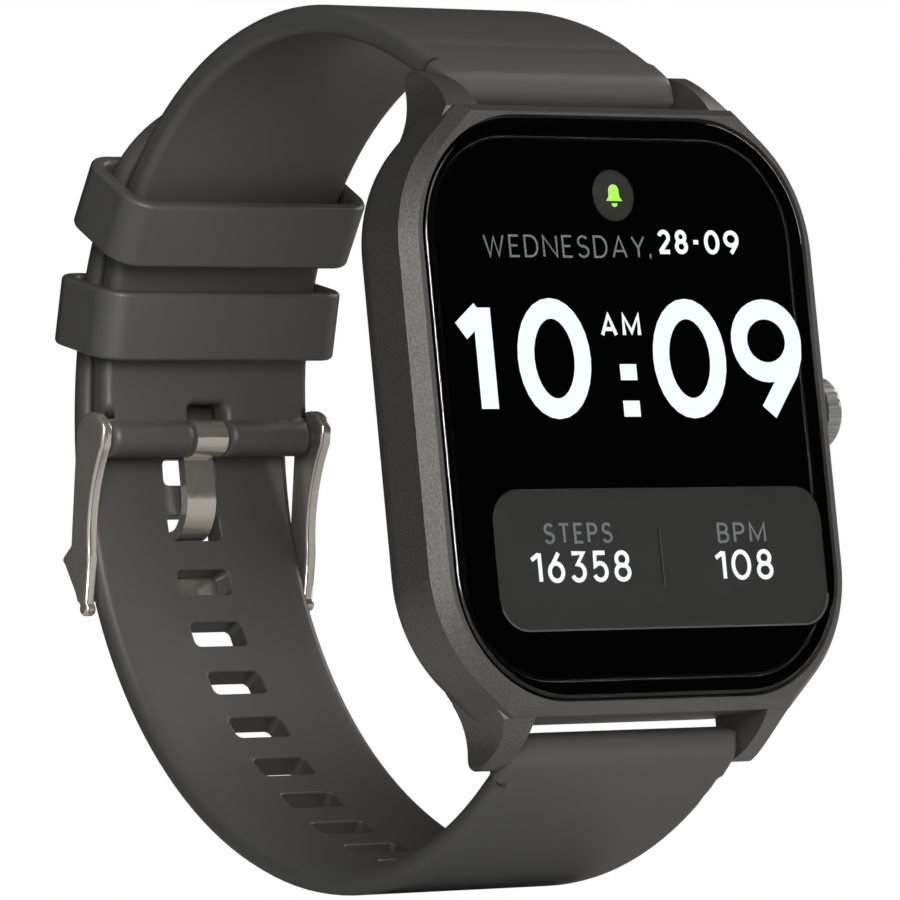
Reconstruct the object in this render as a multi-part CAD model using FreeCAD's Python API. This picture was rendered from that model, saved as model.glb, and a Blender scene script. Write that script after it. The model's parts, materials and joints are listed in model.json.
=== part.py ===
import FreeCAD, Part

import math
import os

from FreeCAD import Vector

# A smartwatch with a crown, fastened in a closed loop by its strap.
# Millimetres. X runs from 9 o'clock to 3 o'clock (crown side), Y runs from the glass into the wrist,
# Z runs from 6 o'clock to 12 o'clock. The origin is the centre of the wrist face of the case.

# ---------------------------------------------------------------- driving dimensions: watch head
THICKNESS = 10.6                    # glass front to wrist face
FRONT = -THICKNESS                  # Y of the glass front
GLASS_HALF_W = 17.95
GLASS_HALF_H = 21.75
GLASS_CORNER = 9.5
GLASS_GAP = 0.17                    # open line between glass and bezel
GLASS_T = 0.9
SEAT_T = 0.2                        # glass gasket

CASE_HALF_W = 19.55                 # at the crease between bezel and flank
CASE_HALF_H = 22.8
CASE_CORNER = 11.3
CREASE_DEPTH = 1.2                  # crease below the glass front
LIP_HALF_W = 18.55
LIP_HALF_H = 22.15
LIP_CORNER = 11.0
CORNER_TURN = 48.0                  # degrees turned before the straight run to the lug
CORNER_Z = 11.9                     # height where the corner arc starts
BACK_DEPTH = 7.6                    # depth of the flat back of the frame
BACK_ROUND = 2.7

CAVITY_HALF_W = 16.4
CAVITY_HALF_H = 19.8
CAVITY_CORNER = 7.0
FLANGE_DEPTH = 6.6                  # inner flange that the back cover screws to
FLANGE_HALF_W = 14.4
FLANGE_HALF_H = 17.8
FLANGE_CORNER = 6.5
BOARD_GAP = 0.2                     # board to flange
COVER_HALF_W = 16.3
COVER_HALF_H = 19.7
COVER_CORNER = 7.6
COVER_DEPTH = 8.7                   # flat back of the cover; its dome goes on to the wrist face
SEAL_HALF_W = 15.7                  # middle of the back seal
SEAL_HALF_H = 19.1
SEAL_CORNER = 6.3
SEAL_HALF = 0.2                     # half its width
SEAL_LET_IN = 0.3                   # let into the frame and into the cover
SCREW_X = 13.08
SCREW_Z = 16.48
SCREW_HOLE_R = 0.45
SCREW_HEAD_R = 0.7
CONTACT_X = (-2.3, 2.3)             # charging contacts
CONTACT_Z = -16.0
CONTACT_R = 0.9
WINDOW_R = 8.0                      # sensor window on the wrist face

SPEAKER_HOLES = (-8.6, -10.2, -11.8)
SPEAKER_HOLE_R = 0.4
MIC_Z = 9.0
MIC_HOLE_R = 0.35

LUG_GAP = 22.0
LUG_START_Z = 21.0 # height where a lug's outer side leaves the shoulder
LUG_SWEEP = 6.4 # radius that turns it upright
LUG_ROOT_Z = 18.6                   # how far a lug reaches into the frame
BAR_Y = FRONT + 6.4                 # spring bar axis
BAR_Z = 25.05
LUG_TIP_R = 1.15
LUG_LEAN = 0.27                     # how fast a lug's front falls back towards its outer side
LUG_DRAFT = 1.3                     # how far its outer root comes in towards the back
LUG_OUT = 6.0
PIN_R = 0.40
PIN_HOLE_R = 0.45
PIN_REACH = 12.1

CROWN_Y = FRONT + 4.2
CROWN_R = 2.85
CROWN_IN = 20.0
CROWN_OUT = 21.5
CROWN_FLUTES = 30
CROWN_RECESS = 0.5                  # sunk into the flank round the crown
STEM_R = 0.8
STEM_IN = 14.0                      # inner end of the stem
BUSH_R = 1.5

# ---------------------------------------------------------------- driving dimensions: strap
STRAP_T = 2.3                       # buckle half
TAIL_T = 2.0                        # holed half
STRAP_WIDE = 10.55                  # half widths: at the lugs and at the buckle
STRAP_NARROW = 9.95
KNUCKLE_R = 1.6
KNUCKLE_HALF_W = 10.9
ARC_Y = FRONT + 26.95               # centre of the arc that both halves share under the keepers
ARC_Z = 5.33
BUCKLE_STRAP_R = 27.15              # inner face of the buckle half on that arc
TAIL_R = 29.8                       # inner face of the holed half on that arc
TAIL_TIP = 59.0                     # angles in degrees above +Y
TAIL_TURN = 21.0
CREST = 106.8
BELLY_R = 40.4                      # the holed half leaves the shared arc on this one
BELLY_TURN = 1.7
LOOP_R = 33.4
LOOP_TURN = -69.0

HOLES = 12
HOLE_FIRST = 2.8                    # degrees about the centre of the loop arc
HOLE_PITCH = 7.76
HOLE_HALF_W = 2.5
HOLE_H = 2.15
HOLE_ROUND = 0.5

KEEPER_W = 5.5
KEEPER_HALF_W = 11.7
KEEPER_WALL = 1.2
KEEPER_IN = 25.95                   # radial reach of the window
KEEPER_OUT = 32.3
KEEPER_ROUND = 2.4                  # outer corners; the window's are smaller by the wall
KEEPER_ANGLES = {"upper_keeper": 37.7, "lower_keeper": 20.3}

# ---------------------------------------------------------------- driving dimensions: buckle
BAR_RADIUS = 28.2                   # buckle bar axis on the shared arc
BAR_ANGLE = 0.9
ROLL_R = 1.55
ROLL_HALF_W = 9.7
BUCKLE_BAR_R = 0.5
RUNNING = 0.05                      # radial clearance of what turns
PLATE_IN = 10.2
PLATE_OUT = 11.2
CROSS_GAP = 0.25                    # between the holed strap and the crossbar, which follows its curve
CROSS_T = 0.45
CROSS_FROM = -7.9
CROSS_TURN = -5.6
TONGUE_HALF_W = 1.4
TONGUE_T = 0.85
TONGUE_OFFSET = 1.25                # its middle, outwards from the bar
RING_HALF_W = 1.5
RING_R = 1.5
SLOT_HALF_W = 1.75


# ---------------------------------------------------------------- small helpers
def depth(d):
    """Y of a depth below the glass front."""
    return FRONT + d


def polar(cy, cz, radius, angle):
    """A point (Y, Z) at an angle above +Y about a centre."""
    a = math.radians(angle)
    return cy + radius * math.cos(a), cz + radius * math.sin(a)


def block(x0, x1, y0, y1, z0, z1):
    return Part.makeBox(x1 - x0, y1 - y0, z1 - z0, Vector(x0, y0, z0))


def rod_x(x0, x1, y, z, radius):
    return Part.makeCylinder(radius, x1 - x0, Vector(x0, y, z), Vector(1, 0, 0))


def tube_x(x0, x1, y, z, outer, inner):
    return rod_x(x0, x1, y, z, outer).cut(rod_x(x0, x1, y, z, inner))


def rod_y(x, z, y0, y1, radius):
    return Part.makeCylinder(radius, y1 - y0, Vector(x, y0, z), Vector(0, 1, 0))


def arc_edge(a, b, c):
    return Part.Arc(a, b, c).toShape()


def line_edge(a, b):
    return Part.LineSegment(a, b).toShape()


def rounded_wire(half_w, half_h, corner, y):
    """A rounded rectangle in a plane of constant Y."""
    w = half_w - corner
    h = half_h - corner
    k = corner * math.sqrt(0.5)
    edges = []
    for sx, sz in ((1, 1), (-1, 1), (-1, -1), (1, -1)):
        side = Vector(sx * half_w, y, sz * h)
        end = Vector(sx * w, y, sz * half_h)
        middle = Vector(sx * (w + k), y, sz * (h + k))
        first, last = (side, end) if sx == sz else (end, side)
        edges.append(arc_edge(first, middle, last))
    points = [(e.firstVertex().Point, e.lastVertex().Point) for e in edges]
    ring = []
    for i, edge in enumerate(edges):
        ring.append(edge)
        ring.append(line_edge(points[i][1], points[(i + 1) % 4][0]))
    return Part.Wire(Part.__sortEdges__(ring))


def rounded_slab(half_w, half_h, corner, y0, y1):
    face = Part.Face(rounded_wire(half_w, half_h, corner, y0))
    return face.extrude(Vector(0, y1 - y0, 0))


def prism_x(wire, x0, x1):
    """Extrude a wire that lies in the plane X = 0."""
    solid = Part.Face(wire).extrude(Vector(x1 - x0, 0, 0))
    solid.translate(Vector(x0, 0, 0))
    return solid


def both_sides(shape):
    """The shape and its mirror image in X."""
    return [shape, shape.mirror(Vector(0, 0, 0), Vector(1, 0, 0))]


def fuse_all(shapes):
    solid = shapes[0]
    for other in shapes[1:]:
        solid = solid.fuse(other)
    return solid.removeSplitter()


def put(name, shape):
    """Write one node; loose solids of a group are kept apart."""
    if shape.ShapeType not in ("Solid", "Compound"):
        shape = Part.makeCompound(shape.Solids)
    if len(shape.Solids) == 1:
        shape = shape.Solids[0]
    if not shape.isValid():
        raise RuntimeError(name + " is not a valid shape")
    shape.exportStep(os.path.join("parts", name + ".step"))
    print(name, len(shape.Solids), "solid", round(shape.Volume, 2), "mm3")


def group(name, shapes):
    put(name, Part.makeCompound([s.Solids[0] for s in shapes]))


# ---------------------------------------------------------------- ribbons of constant thickness
def ribbon(y, z, heading, pieces, half_left, half_right):
    """A closed wire in the plane X = 0 along straight and curved pieces.

    Each piece is ("line", length) or ("arc", radius, turn in degrees, left positive).
    """
    left = []
    right = []
    for piece in pieces:
        a = math.radians(heading)
        ny, nz = -math.sin(a), math.cos(a)
        if piece[0] == "line":
            ey = y + piece[1] * math.cos(a)
            ez = z + piece[1] * math.sin(a)
            for side, off in ((left, half_left), (right, -half_right)):
                side.append(line_edge(Vector(0, y + ny * off, z + nz * off),
                                      Vector(0, ey + ny * off, ez + nz * off)))
            y, z = ey, ez
        else:
            radius, turn = piece[1], piece[2]
            sign = 1.0 if turn > 0 else -1.0
            cy, cz = y + sign * radius * ny, z + sign * radius * nz
            start = heading - sign * 90.0
            for side, off in ((left, half_left), (right, -half_right)):
                r = radius - sign * off
                marks = [polar(cy, cz, r, start + turn * share) for share in (0, 0.5, 1)]
                side.append(arc_edge(*[Vector(0, p[0], p[1]) for p in marks]))
            y, z = polar(cy, cz, radius, start + turn)
            heading += turn
    first = line_edge(right[0].firstVertex().Point, left[0].firstVertex().Point)
    last = line_edge(right[-1].lastVertex().Point, left[-1].lastVertex().Point)
    return Part.Wire(Part.__sortEdges__(right + [last] + left + [first]))


def run_to_knuckle(cy, cz, radius, angle, knuckle_z):
    """Radius and end angle of the arc that leaves another and lies tangent on a lug knuckle.

    Radii are those of the strap's outer face.
    """
    ny, nz = math.cos(math.radians(angle)), math.sin(math.radians(angle))
    wy, wz = BAR_Y - cy, knuckle_z - cz
    reach = radius - KNUCKLE_R
    shift = (wy * wy + wz * wz - reach * reach) / (2 * (reach - (wy * ny + wz * nz)))
    new_y, new_z = cy - shift * ny, cz - shift * nz
    end = math.degrees(math.atan2(knuckle_z - new_z, BAR_Y - new_y))
    return radius + shift, end % 360.0


def arc_turn(radius, start, end):
    """An arc piece on the mid line between two angles about its own centre."""
    return ("arc", radius, end - start)


# ---------------------------------------------------------------- case
def case_outline(half_w, half_h, corner, y):
    """Front outline of the case: straight flanks, round shoulders and straight runs to the lugs."""
    turn = math.radians(CORNER_TURN)
    cx = half_w - corner
    start = Vector(half_w, y, CORNER_Z)
    middle = Vector(cx + corner * math.cos(turn / 2), y, CORNER_Z + corner * math.sin(turn / 2))
    end = Vector(cx + corner * math.cos(turn), y, CORNER_Z + corner * math.sin(turn))
    run = (half_h - end.z) / math.cos(turn)
    tip = Vector(end.x - run * math.sin(turn), y, half_h)
    quarter = [start, middle, end, tip]

    def at(p, sx, sz):
        return Vector(sx * p.x, p.y, sz * p.z)

    edges = []
    for sx, sz in ((1, 1), (-1, 1), (-1, -1), (1, -1)):
        s, m, e, t = [at(p, sx, sz) for p in quarter]
        if sx == sz:
            edges += [arc_edge(s, m, e), line_edge(e, t), line_edge(t, at(quarter[3], -sx, sz))]
        else:
            edges += [line_edge(t, e), arc_edge(e, m, s), line_edge(s, at(quarter[0], sx, -sz))]
    return Part.Wire(edges)


def lug_profile(out):
    """Side profile of a lug at 12 o'clock, out from its inner side: its front leans back outwards."""
    x = LUG_GAP / 2 + out
    fall = LUG_LEAN * out
    start = Vector(x, depth(CREASE_DEPTH + fall), CASE_HALF_H)
    brow = Vector(x, depth(3.15 + fall), 24.75)

    def tip(angle):
        return Vector(x, *polar(BAR_Y, BAR_Z, LUG_TIP_R, angle))

    under = Vector(x, depth(BACK_DEPTH - 0.02), 21.2)
    root_back = Vector(x, depth(BACK_DEPTH - 1.6), LUG_ROOT_Z)
    root_front = Vector(x, depth(CREASE_DEPTH + fall), LUG_ROOT_Z)
    edges = [
        arc_edge(start, brow, tip(118)),
        arc_edge(tip(118), tip(60), tip(0)),
        line_edge(tip(0), under),
        line_edge(under, root_back),
        line_edge(root_back, root_front),
        line_edge(root_front, start),
    ]
    return Part.Wire(edges)


def lug_front_outline(level, inset):
    """Front view of one lug at a depth: its outer side leaves the case's shoulder and turns upright."""
    turn = math.radians(CORNER_TURN)
    shoulder_x = CASE_HALF_W - CASE_CORNER + CASE_CORNER * math.cos(turn)
    shoulder_z = CORNER_Z + CASE_CORNER * math.sin(turn)
    start_x = shoulder_x - (LUG_START_Z - shoulder_z) * math.tan(turn)
    cx = start_x + LUG_SWEEP * math.cos(turn)
    cz = LUG_START_Z + LUG_SWEEP * math.sin(turn)
    y = depth(level)

    def side(share):
        a = math.radians(180 + CORNER_TURN * share)
        return Vector(cx + LUG_SWEEP * math.cos(a) - inset * share, y, cz + LUG_SWEEP * math.sin(a))

    low = side(1)
    high = side(0)
    beyond = BAR_Z + 5
    corners = [Vector(high.x, y, beyond), Vector(LUG_GAP / 2, y, beyond), Vector(LUG_GAP / 2, y, LUG_ROOT_Z),
               Vector(shoulder_x - inset, y, LUG_ROOT_Z), Vector(shoulder_x - inset, y, shoulder_z)]
    edges = [arc_edge(low, side(0.5), high), line_edge(high, corners[0])]
    edges += [line_edge(a, b) for a, b in zip(corners, corners[1:])]
    edges.append(line_edge(corners[-1], low))
    return Part.Wire(edges)


def lugs():
    """Four lugs, each with the blind hole that takes a spring bar pin."""
    one = Part.makeLoft([lug_profile(0), lug_profile(LUG_OUT)], True, True)
    one = one.common(Part.makeLoft([lug_front_outline(0, 0), lug_front_outline(8, LUG_DRAFT)], True, True))
    one = one.cut(rod_x(LUG_GAP / 2 - 1, PIN_REACH + 0.25, BAR_Y, BAR_Z, PIN_HOLE_R))
    pair = both_sides(one)
    return pair + [s.mirror(Vector(0, 0, 0), Vector(0, 0, 1)) for s in pair]


def case_frame():
    """One-piece frame: flanks, bezel, back flange and lugs."""
    outline = case_outline(CASE_HALF_W, CASE_HALF_H, CASE_CORNER, depth(CREASE_DEPTH))
    body = Part.Face(outline).extrude(Vector(0, BACK_DEPTH - CREASE_DEPTH, 0))
    back_edges = [e for e in body.Edges
                  if abs(e.BoundBox.YMin - depth(BACK_DEPTH)) < 1e-4
                  and abs(e.BoundBox.YMax - depth(BACK_DEPTH)) < 1e-4
                  and abs(abs(e.CenterOfMass.z) - CASE_HALF_H) > 0.01]
    body = body.makeFillet(BACK_ROUND, back_edges)
    lip = case_outline(LIP_HALF_W, LIP_HALF_H, LIP_CORNER, depth(0.05))
    bezel = Part.makeLoft([outline, lip], True, True)
    notch = LUG_GAP / 2
    frame = fuse_all([body, bezel] + lugs())
    for sign in (1, -1):
        low, high = sorted((sign * CASE_HALF_H, sign * (CASE_HALF_H + 6)))
        frame = frame.cut(block(-notch, notch, depth(-1), depth(BACK_DEPTH + 4), low, high))
    frame = frame.cut(rounded_slab(GLASS_HALF_W + GLASS_GAP, GLASS_HALF_H + GLASS_GAP,
                                   GLASS_CORNER + GLASS_GAP, depth(-1), depth(GLASS_T + SEAT_T)))
    frame = frame.cut(rounded_slab(CAVITY_HALF_W + 0.5, CAVITY_HALF_H + 0.5, CAVITY_CORNER + 0.5,
                                   depth(0.5), depth(2.4)))
    frame = frame.cut(rounded_slab(CAVITY_HALF_W, CAVITY_HALF_H, CAVITY_CORNER,
                                   depth(1), depth(FLANGE_DEPTH)))
    frame = frame.cut(rounded_slab(FLANGE_HALF_W, FLANGE_HALF_H, FLANGE_CORNER,
                                   depth(FLANGE_DEPTH - 1), depth(BACK_DEPTH + 1)))
    frame = frame.cut(gasket_ring())
    recess_x = CASE_HALF_W - CROWN_RECESS
    frame = frame.cut(rod_x(recess_x, CASE_HALF_W + 2, CROWN_Y, 0, CROWN_R + 0.3))
    frame = frame.cut(rod_x(12, CASE_HALF_W + 2, CROWN_Y, 0, BUSH_R))
    for x, z in screw_places():
        frame = frame.cut(rod_y(x, z, depth(FLANGE_DEPTH - 1), depth(BACK_DEPTH + 1), SCREW_HOLE_R))
    for z in SPEAKER_HOLES:
        frame = frame.cut(rod_x(12, CASE_HALF_W + 2, CROWN_Y, z, SPEAKER_HOLE_R))
    frame = frame.cut(rod_x(12, CASE_HALF_W + 2, CROWN_Y, MIC_Z, MIC_HOLE_R))
    put("case_frame", frame.removeSplitter())


def screw_places():
    return [(sx * SCREW_X, sz * SCREW_Z) for sx in (1, -1) for sz in (1, -1)]


def gasket_ring():
    """Back seal, half let into the frame and half into the cover."""
    def slab(grow, reach):
        return rounded_slab(SEAL_HALF_W + grow, SEAL_HALF_H + grow, SEAL_CORNER + grow,
                            depth(BACK_DEPTH - reach), depth(BACK_DEPTH + reach))

    return slab(SEAL_HALF, SEAL_LET_IN).cut(slab(-SEAL_HALF, 1))


# ---------------------------------------------------------------- front: glass and display
def front_parts():
    glass = rounded_slab(GLASS_HALF_W, GLASS_HALF_H, GLASS_CORNER, FRONT, depth(GLASS_T))
    rim = [e for e in glass.Edges if abs(e.BoundBox.YMax - FRONT) < 1e-4]
    put("cover_glass", glass.makeFillet(0.35, rim))
    seal = rounded_slab(GLASS_HALF_W, GLASS_HALF_H, GLASS_CORNER,
                        depth(GLASS_T), depth(GLASS_T + SEAT_T))
    put("glass_gasket", seal.cut(rounded_slab(CAVITY_HALF_W + 0.6, CAVITY_HALF_H + 0.6,
                                              CAVITY_CORNER + 0.6, depth(0), depth(3))))
    put("display_panel", rounded_slab(CAVITY_HALF_W + 0.3, CAVITY_HALF_H + 0.3, CAVITY_CORNER + 0.3,
                                      depth(GLASS_T), depth(2.1)))
    flex()


def flex():
    """Flexible circuit: from the back of the display, down inside the frame and in to the board."""
    folds = [(2.1, 2.25, -19.2, -12.0), (2.25, 6.45, -19.2, -19.05), (6.3, 6.45, -19.05, -16.5),
             (6.45, 6.95, -16.65, -16.5), (6.8, 6.95, -16.5, -15.0)]
    strips = [block(-4, 4, depth(d0), depth(d1), z0, z1) for d0, d1, z0, z1 in folds]
    put("display_flex", fuse_all(strips))


# ---------------------------------------------------------------- inside the case
def inner_parts():
    tray = rounded_slab(16.2, 19.6, 6.8, depth(2.45), depth(3.05))
    tray = tray.cut(block(-4.4, 4.4, depth(2), depth(4), -20, -18.0))
    tray = tray.cut(block(11.2, 17, depth(2), depth(4), -2.4, 2.4))
    put("inner_frame", tray)
    battery = block(-12.4, 9.6, depth(3.15), depth(6.55), -9.5, 10.6)
    put("battery", battery.makeFillet(0.8, [e for e in battery.Edges
                                            if abs(e.BoundBox.YLength - 3.4) < 1e-4]))
    put("main_board", rounded_slab(FLANGE_HALF_W - BOARD_GAP, FLANGE_HALF_H - BOARD_GAP,
                                   FLANGE_CORNER - BOARD_GAP, depth(6.95), depth(7.45)))
    chips = [(-8.4, -14.0, 5.0, 4.6), (8.6, -14.8, 4.0, 3.4), (9.4, 14.0, 3.6, 3.6), (-1.4, 14.8, 4.4, 3.0)]
    group("board_chips", [block(x - w / 2, x + w / 2, depth(6.05), depth(6.95), z - h / 2, z + h / 2)
                          for x, z, w, h in chips])
    put("battery_plug", block(-12.5, -8.5, depth(6.6), depth(6.95), -11.4, -9.9))
    motor_parts()
    put("speaker", block(6.0, 15.9, depth(3.15), depth(5.85), -12.8, -10.6)
        .fuse(block(10.2, 15.9, depth(3.15), depth(5.85), -10.6, -6.2)))
    put("microphone", block(13.4, 16.0, depth(3.4), depth(5.0), 7.6, 10.4))
    put("antenna", fuse_all([block(-9.5, 9.5, depth(3.4), depth(6.2), 19.3, 19.6),
                             block(3, 6, depth(6.2), depth(6.4), 16.6, 19.6),
                             block(3, 6, depth(6.4), depth(6.95), 16.6, 16.8)]))


def motor_parts():
    """Coin vibration motor: can, eccentric rotor and shaft."""
    x, z = -11.0, 15.0
    can = rod_y(x, z, depth(3.15), depth(5.95), 4.0).cut(rod_y(x, z, depth(3.4), depth(5.7), 3.75))
    put("motor_can", can)
    put("motor_shaft", rod_y(x, z, depth(3.4), depth(5.7), 0.3))
    disc = rod_y(x, z, depth(3.7), depth(5.4), 3.4)
    disc = disc.cut(block(x - 4, x + 4, depth(3), depth(6), z + 0.9, z + 4))
    hub = rod_y(x, z, depth(3.7), depth(5.4), 1.2)
    put("motor_rotor", disc.fuse(hub).cut(rod_y(x, z, depth(3), depth(6), 0.3 + RUNNING)).removeSplitter())


# ---------------------------------------------------------------- back cover and sensors
def back_parts():
    plate = rounded_slab(COVER_HALF_W, COVER_HALF_H, COVER_CORNER, depth(BACK_DEPTH), depth(COVER_DEPTH))
    rim = [e for e in plate.Edges if abs(e.BoundBox.YMin - depth(COVER_DEPTH)) < 1e-4]
    plate = plate.makeFillet(0.6, rim)
    dome = Part.makeCone(13.4, 10.4, 1.3, Vector(0, depth(8.6), 0), Vector(0, 1, 0))
    cover = plate.fuse(dome).removeSplitter()
    cover = cover.cut(rod_y(0, 0, depth(9.1), depth(11), WINDOW_R + 0.05))
    cover = cover.cut(rod_y(0, 0, depth(7), depth(9.3), WINDOW_R - 0.6))
    cover = cover.cut(gasket_ring())
    for x, z in screw_places():
        cover = cover.cut(rod_y(x, z, depth(7), depth(9), SCREW_HOLE_R))
        cover = cover.cut(rod_y(x, z, depth(8.2), depth(9), SCREW_HEAD_R + 0.05))
    for x in CONTACT_X:
        cover = cover.cut(rod_y(x, CONTACT_Z, depth(7), depth(9), CONTACT_R))
    put("back_cover", cover)
    put("back_gasket", gasket_ring())
    window = rod_y(0, 0, depth(9.1), 0, WINDOW_R)
    rim = [e for e in window.Edges if abs(e.BoundBox.YMin) < 1e-4 and e.Length > 10]
    put("sensor_window", window.makeFillet(0.6, rim))
    put("sensor_board", rod_y(0, 0, depth(7.5), depth(8.1), 6.8))
    lights = [block(x - 0.8, x + 0.8, depth(8.1), depth(8.7), z - 0.8, z + 0.8)
              for x, z in ((-3.4, 0), (3.4, 0), (0, 3.4), (0, -3.4))]
    group("sensor_lights", lights)
    group("charging_contacts", [rod_y(x, CONTACT_Z, depth(7.46), depth(8.8), CONTACT_R)
                                for x in CONTACT_X])
    screws = []
    for x, z in screw_places():
        head = rod_y(x, z, depth(8.2), depth(8.65), SCREW_HEAD_R)
        shank = rod_y(x, z, depth(6.8), depth(8.3), SCREW_HOLE_R - 0.02)
        slot = block(x - 1, x + 1, depth(8.45), depth(9), z - 0.12, z + 0.12)
        screws.append(head.fuse(shank).cut(slot).removeSplitter())
    group("back_screws", screws)


# ---------------------------------------------------------------- crown
def crown_parts():
    bush = tube_x(15.2, CASE_HALF_W - CROWN_RECESS, CROWN_Y, 0, BUSH_R, STEM_R + RUNNING)
    bush = bush.cut(rod_x(16.6, 17.4, CROWN_Y, 0, 1.15))
    put("crown_bush", bush)
    put("crown_seal", tube_x(16.65, 17.35, CROWN_Y, 0, 1.13, STEM_R + 0.02))
    cap = rod_x(CROWN_IN, CROWN_OUT, CROWN_Y, 0, CROWN_R)
    face = [e for e in cap.Edges if abs(e.BoundBox.XMin - CROWN_OUT) < 1e-4 and e.Length > 10]
    cap = cap.makeFillet(0.55, face)
    step = 360.0 / CROWN_FLUTES
    for i in range(CROWN_FLUTES):
        y, z = polar(CROWN_Y, 0, CROWN_R + 0.12, i * step)
        cap = cap.cut(rod_x(CROWN_IN - 1, CROWN_OUT + 1, y, z, 0.2))
    cap = cap.cut(tube_x(CROWN_IN - 1, CROWN_IN + 0.5, CROWN_Y, 0, 1.9, STEM_R))
    cap = cap.fuse(rod_x(STEM_IN, CROWN_IN + 0.6, CROWN_Y, 0, STEM_R)).removeSplitter()
    put("crown", cap)
    put("crown_slider", block(STEM_IN - 0.55, STEM_IN, CROWN_Y - 1.3, CROWN_Y + 1.3, -1.6, 1.6))
    put("crown_switch", block(11.6, 13.0, CROWN_Y - 1.6, CROWN_Y + 1.6, -2.0, 2.0))
    put("crown_spring", crown_spring())


def crown_spring():
    """Return spring between the bush and the crown: a plain sleeve of the coil's size."""
    return tube_x(CASE_HALF_W - CROWN_RECESS, CROWN_IN + 0.5, CROWN_Y, 0, BUSH_R, 1.1)


# ---------------------------------------------------------------- spring bars
def spring_bars():
    for name, sz in (("top", 1), ("bottom", -1)):
        z = sz * BAR_Z
        tube = tube_x(-10.6, 10.6, BAR_Y, z, 0.75, PIN_HOLE_R)
        tube = tube.cut(rod_x(-8.4, 8.4, BAR_Y, z, 0.57))
        put(name + "_bar_tube", tube)
        for side, sx in (("left", -1), ("right", 1)):
            pin = rod_x(7.0, PIN_REACH, BAR_Y, z, PIN_R).fuse(rod_x(7.0, 8.3, BAR_Y, z, 0.52))
            pin = pin.removeSplitter()
            if sx < 0:
                pin = pin.mirror(Vector(0, 0, 0), Vector(1, 0, 0))
            put(name + "_pin_" + side, pin)
        put(name + "_bar_spring", rod_x(-5.4, 5.4, BAR_Y, z, 0.5).cut(rod_x(-6, 6, BAR_Y, z, 0.3)))


# ---------------------------------------------------------------- strap
def taper(wide, narrow, y_wide, y_narrow):
    """Everything between the strap's two edges, seen from above."""
    points = [(-wide, -20), (-wide, y_wide), (-narrow, y_narrow), (-narrow, 70),
              (narrow, 70), (narrow, y_narrow), (wide, y_wide), (wide, -20), (-wide, -20)]
    wire = Part.makePolygon([Vector(x, y, -60) for x, y in points])
    return Part.Face(wire).extrude(Vector(0, 0, 120))


def buckle_strap():
    """The short half: lug knuckle, arc over the wrist and the roll round the buckle bar."""
    half = STRAP_T / 2
    mid = BUCKLE_STRAP_R + half
    outer, end = run_to_knuckle(ARC_Y, ARC_Z, mid + half, CREST, BAR_Z)
    y, z = polar(ARC_Y, ARC_Z, mid, BAR_ANGLE)
    pieces = [arc_turn(mid, BAR_ANGLE, CREST), arc_turn(outer - half, CREST, end)]
    band = prism_x(ribbon(y, z, 90 + BAR_ANGLE, pieces, half, half), -14, 14)
    band = band.common(taper(STRAP_WIDE, STRAP_NARROW, depth(9), depth(30)))
    band = band.fuse(rod_x(-KNUCKLE_HALF_W, KNUCKLE_HALF_W, BAR_Y, BAR_Z, KNUCKLE_R))
    by, bz = bar_centre()
    roll = rod_x(-ROLL_HALF_W, ROLL_HALF_W, by, bz, ROLL_R)
    band = fuse_all([band, roll])
    band = band.cut(rod_x(-14, 14, BAR_Y, BAR_Z, 0.85))
    band = band.cut(rod_x(-14, 14, by, bz, BUCKLE_BAR_R + RUNNING))
    band = band.cut(block(-SLOT_HALF_W, SLOT_HALF_W, by - 4, by + 4, bz - 3, bz + 2.7))
    put("buckle_strap", band.removeSplitter())


def bar_centre():
    return polar(ARC_Y, ARC_Z, BAR_RADIUS, BAR_ANGLE)


def tail_centres():
    """Centres of the arcs that the holed half follows, from the tip to the lug."""
    belly = polar(ARC_Y, ARC_Z, TAIL_R - BELLY_R, TAIL_TURN)
    loop = polar(belly[0], belly[1], BELLY_R - LOOP_R, BELLY_TURN)
    return belly, loop


def holed_strap():
    """The long half: tip under the keepers, past the buckle, round the wrist to the lug."""
    half = TAIL_T / 2
    loop = tail_centres()[1]
    outer, end = run_to_knuckle(loop[0], loop[1], LOOP_R + TAIL_T, LOOP_TURN, -BAR_Z)
    y, z = polar(ARC_Y, ARC_Z, TAIL_R + half, TAIL_TIP)
    pieces = [
        arc_turn(TAIL_R + half, TAIL_TIP, TAIL_TURN),
        arc_turn(BELLY_R + half, TAIL_TURN, BELLY_TURN),
        arc_turn(LOOP_R + half, BELLY_TURN, LOOP_TURN),
        arc_turn(outer - half, LOOP_TURN, end - 360.0),
    ]
    band = prism_x(ribbon(y, z, TAIL_TIP - 90, pieces, half, half), -14, 14)
    band = band.common(taper(STRAP_WIDE, STRAP_NARROW, depth(9), depth(30)))
    band = band.fuse(rod_x(-KNUCKLE_HALF_W, KNUCKLE_HALF_W, BAR_Y, -BAR_Z, KNUCKLE_R))
    band = band.cut(rod_x(-14, 14, BAR_Y, -BAR_Z, 0.85))
    band = band.cut(tip_cutter())
    for i in range(HOLES):
        band = band.cut(hole_cutter(loop, HOLE_FIRST - i * HOLE_PITCH))
    put("holed_strap", band.removeSplitter())


def tip_cutter():
    """What is cut away to round the end of the tail."""
    angle = TAIL_TIP - math.degrees(STRAP_NARROW / TAIL_R)
    y, z = polar(ARC_Y, ARC_Z, TAIL_R - 6, angle)
    out = Vector(0, math.cos(math.radians(angle)), math.sin(math.radians(angle)))
    disc = Part.makeCylinder(STRAP_NARROW, 14, Vector(0, y, z), out)
    slab = Part.makeBox(30, 14, 14, Vector(-15, 0, 0))
    slab.rotate(Vector(0, 0, 0), Vector(1, 0, 0), angle)
    slab.translate(Vector(0, y, z))
    return slab.cut(disc)


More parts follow.
